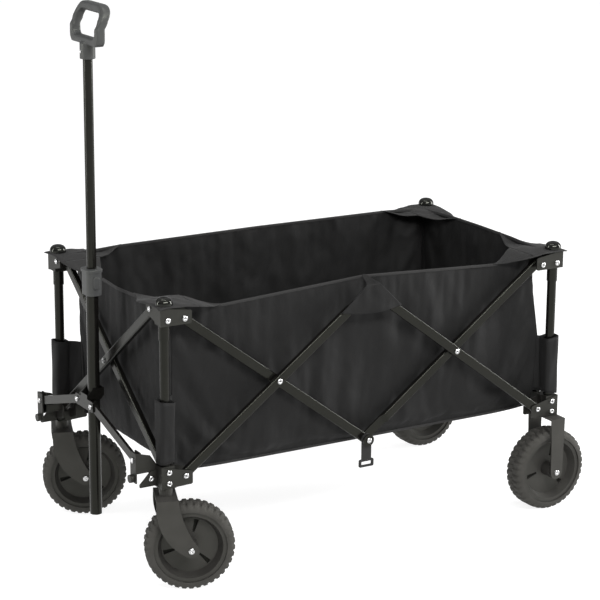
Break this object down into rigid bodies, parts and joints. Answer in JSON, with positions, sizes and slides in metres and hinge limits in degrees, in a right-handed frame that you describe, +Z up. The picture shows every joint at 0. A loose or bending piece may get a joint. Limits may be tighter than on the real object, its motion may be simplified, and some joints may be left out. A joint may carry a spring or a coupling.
{
  "type": "folding wagon",
  "caption": "Folding utility wagon with a scissor frame, black fabric tub, swivelling front castors and a telescoping pull handle that tilts forward.",
  "frame": {"origin": "on the ground below the middle of the wagon's bounding box", "axes": "X forward to the pull handle, Y to the left, Z up"},
  "size_m": [1.0576, 0.587, 1.104],
  "materials": {
    "frame_steel": "satin black powder coat",
    "bracket_plastic": "matte black",
    "knob_plastic": "gloss black",
    "grip_plastic": "fine moulded texture",
    "tyre_rubber": "matte dark grey foam rubber",
    "rim_plastic": "matte dark grey",
    "tub_fabric": "matte woven polyester",
    "strap_webbing": "black webbing with a steel ring"
  },
  "bodies": {
    "lower_front_left": {"lower_post_front_left": "frame_steel", "lower_bracket_front_left": "bracket_plastic"},
    "upper_front_left": {"upper_post_front_left": "frame_steel", "upper_bracket_front_left": "bracket_plastic", "knob_front_left": "knob_plastic", "tub_wall_left": "tub_fabric", "tub_wall_front": "tub_fabric"},
    "wheel_front_left": {"tyre_front_left": "tyre_rubber", "rim_front_left": "rim_plastic"},
    "castor_front_left": {"castor_fork_front_left": "frame_steel"},
    "lower_front_right": {"lower_post_front_right": "frame_steel", "lower_bracket_front_right": "bracket_plastic"},
    "upper_front_right": {"upper_post_front_right": "frame_steel", "upper_bracket_front_right": "bracket_plastic", "knob_front_right": "knob_plastic", "tub_wall_right": "tub_fabric"},
    "wheel_front_right": {"tyre_front_right": "tyre_rubber", "rim_front_right": "rim_plastic"},
    "castor_front_right": {"castor_fork_front_right": "frame_steel"},
    "lower_rear_left": {"lower_post_rear_left": "frame_steel", "lower_bracket_rear_left": "bracket_plastic", "rear_fork_rear_left": "frame_steel"},
    "upper_rear_left": {"upper_post_rear_left": "frame_steel", "upper_bracket_rear_left": "bracket_plastic", "knob_rear_left": "knob_plastic", "tub_wall_rear": "tub_fabric"},
    "wheel_rear_left": {"tyre_rear_left": "tyre_rubber", "rim_rear_left": "rim_plastic"},
    "lower_rear_right": {"lower_post_rear_right": "frame_steel", "lower_bracket_rear_right": "bracket_plastic", "rear_fork_rear_right": "frame_steel"},
    "upper_rear_right": {"upper_post_rear_right": "frame_steel", "upper_bracket_rear_right": "bracket_plastic", "knob_rear_right": "knob_plastic"},
    "wheel_rear_right": {"tyre_rear_right": "tyre_rubber", "rim_rear_right": "rim_plastic"},
    "floor_front": {"tub_floor_front": "tub_fabric"},
    "floor_rear": {"tub_floor_rear": "tub_fabric"},
    "side_left_front_rising": {"side_bar_left_front_rising": "frame_steel"},
    "side_left_front_falling": {"side_bar_left_front_falling": "frame_steel", "strap_tab_left": "strap_webbing"},
    "side_left_rear_rising": {"side_bar_left_rear_rising": "frame_steel"},
    "side_left_rear_falling": {"side_bar_left_rear_falling": "frame_steel"},
    "side_right_front_rising": {"side_bar_right_front_rising": "frame_steel"},
    "side_right_front_falling": {"side_bar_right_front_falling": "frame_steel", "strap_tab_right": "strap_webbing"},
    "side_right_rear_rising": {"side_bar_right_rear_rising": "frame_steel"},
    "side_right_rear_falling": {"side_bar_right_rear_falling": "frame_steel"},
    "end_front_outer": {"end_bar_front_outer": "frame_steel"},
    "end_front_inner": {"end_bar_front_inner": "frame_steel"},
    "end_rear_outer": {"end_bar_rear_outer": "frame_steel"},
    "end_rear_inner": {"end_bar_rear_inner": "frame_steel"},
    "link_left": {"handle_link_left": "frame_steel"},
    "link_right": {"handle_link_right": "frame_steel"},
    "yoke": {"handle_yoke": "frame_steel"},
    "handle": {"handle_outer_tube": "frame_steel", "handle_collar": "grip_plastic"},
    "handle_slider": {"handle_inner_tube": "frame_steel", "handle_grip": "grip_plastic"}
  },
  "joints": [
    {"name": "fold", "type": "hinge", "parent": "lower_front_left", "child": "side_left_front_rising", "pos_m": [0.42677, 0.22386, 0.226], "axis": [0, 1, 0], "range_deg": [0, 42.04], "deforming": ["tub_wall_left", "tub_wall_right", "tub_wall_front", "tub_wall_rear", "tub_floor_front", "tub_floor_rear"]},
    {"name": "left_front_cross", "type": "hinge", "parent": "side_left_front_rising", "child": "side_left_front_falling", "pos_m": [0.21877, 0.22386, 0.382], "axis": [0, 1, 0], "range_deg": [-84.59, 0.5]},
    {"name": "left_front_top", "type": "hinge", "parent": "side_left_front_falling", "child": "upper_front_left", "pos_m": [0.42677, 0.22386, 0.538], "axis": [0, 1, 0], "range_deg": [-0.5, 42.54]},
    {"name": "left_low_middle", "type": "hinge", "parent": "side_left_front_falling", "child": "side_left_rear_falling", "pos_m": [0.01077, 0.22386, 0.226], "axis": [0, 1, 0], "range_deg": [-0.5, 84.59]},
    {"name": "left_rear_cross", "type": "hinge", "parent": "side_left_rear_falling", "child": "side_left_rear_rising", "pos_m": [-0.19723, 0.22386, 0.382], "axis": [0, 1, 0], "range_deg": [-84.59, 0.5]},
    {"name": "left_rear_low", "type": "hinge", "parent": "side_left_rear_rising", "child": "lower_rear_left", "pos_m": [-0.40523, 0.22386, 0.226], "axis": [0, 1, 0], "range_deg": [-0.5, 42.54]},
    {"name": "left_rear_top", "type": "hinge", "parent": "side_left_rear_falling", "child": "upper_rear_left", "pos_m": [-0.40523, 0.22386, 0.538], "axis": [0, 1, 0], "range_deg": [-42.54, 0.5]},
    {"name": "front_inner", "type": "hinge", "parent": "lower_front_left", "child": "end_front_inner", "pos_m": [0.46277, 0.19636, 0.241], "axis": [1, 0, 0], "range_deg": [-42.54, 0.5]},
    {"name": "front_cross", "type": "hinge", "parent": "end_front_inner", "child": "end_front_outer", "pos_m": [0.46277, -0.01164, 0.397], "axis": [1, 0, 0], "range_deg": [-0.5, 84.59]},
    {"name": "front_right_low", "type": "hinge", "parent": "end_front_outer", "child": "lower_front_right", "pos_m": [0.46277, -0.21964, 0.241], "axis": [1, 0, 0], "range_deg": [-42.54, 0.5]},
    {"name": "right_front_rising", "type": "hinge", "parent": "lower_front_right", "child": "side_right_front_rising", "pos_m": [0.42677, -0.24714, 0.226], "axis": [0, 1, 0], "range_deg": [-0.5, 42.54]},
    {"name": "right_front_cross", "type": "hinge", "parent": "side_right_front_rising", "child": "side_right_front_falling", "pos_m": [0.21877, -0.24714, 0.382], "axis": [0, 1, 0], "range_deg": [-84.59, 0.5]},
    {"name": "right_front_top", "type": "hinge", "parent": "side_right_front_falling", "child": "upper_front_right", "pos_m": [0.42677, -0.24714, 0.538], "axis": [0, 1, 0], "range_deg": [-0.5, 42.54]},
    {"name": "right_low_middle", "type": "hinge", "parent": "side_right_front_falling", "child": "side_right_rear_falling", "pos_m": [0.01077, -0.24714, 0.226], "axis": [0, 1, 0], "range_deg": [-0.5, 84.59]},
    {"name": "right_rear_cross", "type": "hinge", "parent": "side_right_rear_falling", "child": "side_right_rear_rising", "pos_m": [-0.19723, -0.24714, 0.382], "axis": [0, 1, 0], "range_deg": [-84.59, 0.5]},
    {"name": "right_rear_low", "type": "hinge", "parent": "side_right_rear_rising", "child": "lower_rear_right", "pos_m": [-0.40523, -0.24714, 0.226], "axis": [0, 1, 0], "range_deg": [-0.5, 42.54]},
    {"name": "right_rear_top", "type": "hinge", "parent": "side_right_rear_falling", "child": "upper_rear_right", "pos_m": [-0.40523, -0.24714, 0.538], "axis": [0, 1, 0], "range_deg": [-42.54, 0.5]},
    {"name": "rear_inner", "type": "hinge", "parent": "lower_rear_left", "child": "end_rear_inner", "pos_m": [-0.44123, 0.19636, 0.241], "axis": [1, 0, 0], "range_deg": [-42.54, 0.5]},
    {"name": "rear_cross", "type": "hinge", "parent": "end_rear_inner", "child": "end_rear_outer", "pos_m": [-0.44123, -0.01164, 0.397], "axis": [1, 0, 0], "range_deg": [-0.5, 84.59]},
    {"name": "link_left", "type": "hinge", "parent": "lower_front_left", "child": "link_left", "pos_m": [0.51477, 0.20186, 0.262], "axis": [1, 0, 0], "range_deg": [-66.34, 0.5]},
    {"name": "yoke_left", "type": "hinge", "parent": "link_left", "child": "yoke", "pos_m": [0.51477, 0.01936, 0.317], "axis": [1, 0, 0], "range_deg": [-0.5, 66.34]},
    {"name": "link_right", "type": "hinge", "parent": "lower_front_right", "child": "link_right", "pos_m": [0.51477, -0.22514, 0.262], "axis": [1, 0, 0], "range_deg": [-0.5, 66.34]},
    {"name": "floor_front", "type": "hinge", "parent": "lower_front_left", "child": "floor_front", "pos_m": [0.41747, -0.01164, 0.2265], "axis": [0, 1, 0], "range_deg": [-0.5, 77.61]},
    {"name": "floor_rear", "type": "hinge", "parent": "lower_rear_left", "child": "floor_rear", "pos_m": [-0.39593, -0.01164, 0.2265], "axis": [0, 1, 0], "range_deg": [-77.61, 0.5]},
    {"name": "handle_tilt", "type": "hinge", "parent": "yoke", "child": "handle", "pos_m": [0.49877, -0.01164, 0.332], "axis": [0, -1, 0], "range_deg": [-28, 0]},
    {"name": "handle_slide", "type": "slide", "parent": "handle", "child": "handle_slider", "axis": [0, 0, -1], "range_m": [0, 0.39]},
    {"name": "castor_front_left_swivel", "type": "hinge", "parent": "lower_front_left", "child": "castor_front_left", "pos_m": [0.46277, 0.22386, 0.19], "axis": [0, 0, 1], "continuous": true},
    {"name": "wheel_front_left_roll", "type": "hinge", "parent": "castor_front_left", "child": "wheel_front_left", "pos_m": [0.42105, 0.24072, 0.0875], "axis": [0.3746, 0.9272, 0], "continuous": true},
    {"name": "castor_front_right_swivel", "type": "hinge", "parent": "lower_front_right", "child": "castor_front_right", "pos_m": [0.46277, -0.24714, 0.19], "axis": [0, 0, 1], "continuous": true},
    {"name": "wheel_front_right_roll", "type": "hinge", "parent": "castor_front_right", "child": "wheel_front_right", "pos_m": [0.42105, -0.23028, 0.0875], "axis": [0.3746, 0.9272, 0], "continuous": true},
    {"name": "wheel_rear_left_roll", "type": "hinge", "parent": "lower_rear_left", "child": "wheel_rear_left", "pos_m": [-0.44123, 0.22386, 0.0875], "axis": [0, 1, 0], "continuous": true},
    {"name": "wheel_rear_right_roll", "type": "hinge", "parent": "lower_rear_right", "child": "wheel_rear_right", "pos_m": [-0.44123, -0.24714, 0.0875], "axis": [0, 1, 0], "continuous": true}
  ],
  "couplings": [
    {"joint": "left_front_cross", "follows": "fold", "ratio": -2},
    {"joint": "left_front_top", "follows": "fold", "ratio": 1},
    {"joint": "left_low_middle", "follows": "fold", "ratio": 2},
    {"joint": "left_rear_cross", "follows": "fold", "ratio": -2},
    {"joint": "left_rear_low", "follows": "fold", "ratio": 1},
    {"joint": "left_rear_top", "follows": "fold", "ratio": -1},
    {"joint": "front_inner", "follows": "fold", "ratio": -1},
    {"joint": "front_cross", "follows": "fold", "ratio": 2},
    {"joint": "front_right_low", "follows": "fold", "ratio": -1},
    {"joint": "right_front_rising", "follows": "fold", "ratio": 1},
    {"joint": "right_front_cross", "follows": "fold", "ratio": -2},
    {"joint": "right_front_top", "follows": "fold", "ratio": 1},
    {"joint": "right_low_middle", "follows": "fold", "ratio": 2},
    {"joint": "right_rear_cross", "follows": "fold", "ratio": -2},
    {"joint": "right_rear_low", "follows": "fold", "ratio": 1},
    {"joint": "right_rear_top", "follows": "fold", "ratio": -1},
    {"joint": "rear_inner", "follows": "fold", "ratio": -1},
    {"joint": "rear_cross", "follows": "fold", "ratio": 2},
    {"joint": "link_left", "follows": "fold", "ratio": -1.5661},
    {"joint": "yoke_left", "follows": "fold", "ratio": 1.5661},
    {"joint": "link_right", "follows": "fold", "ratio": 1.5661},
    {"joint": "floor_front", "follows": "fold", "ratio": 1.8342},
    {"joint": "floor_rear", "follows": "fold", "ratio": -1.8342}
  ]
}
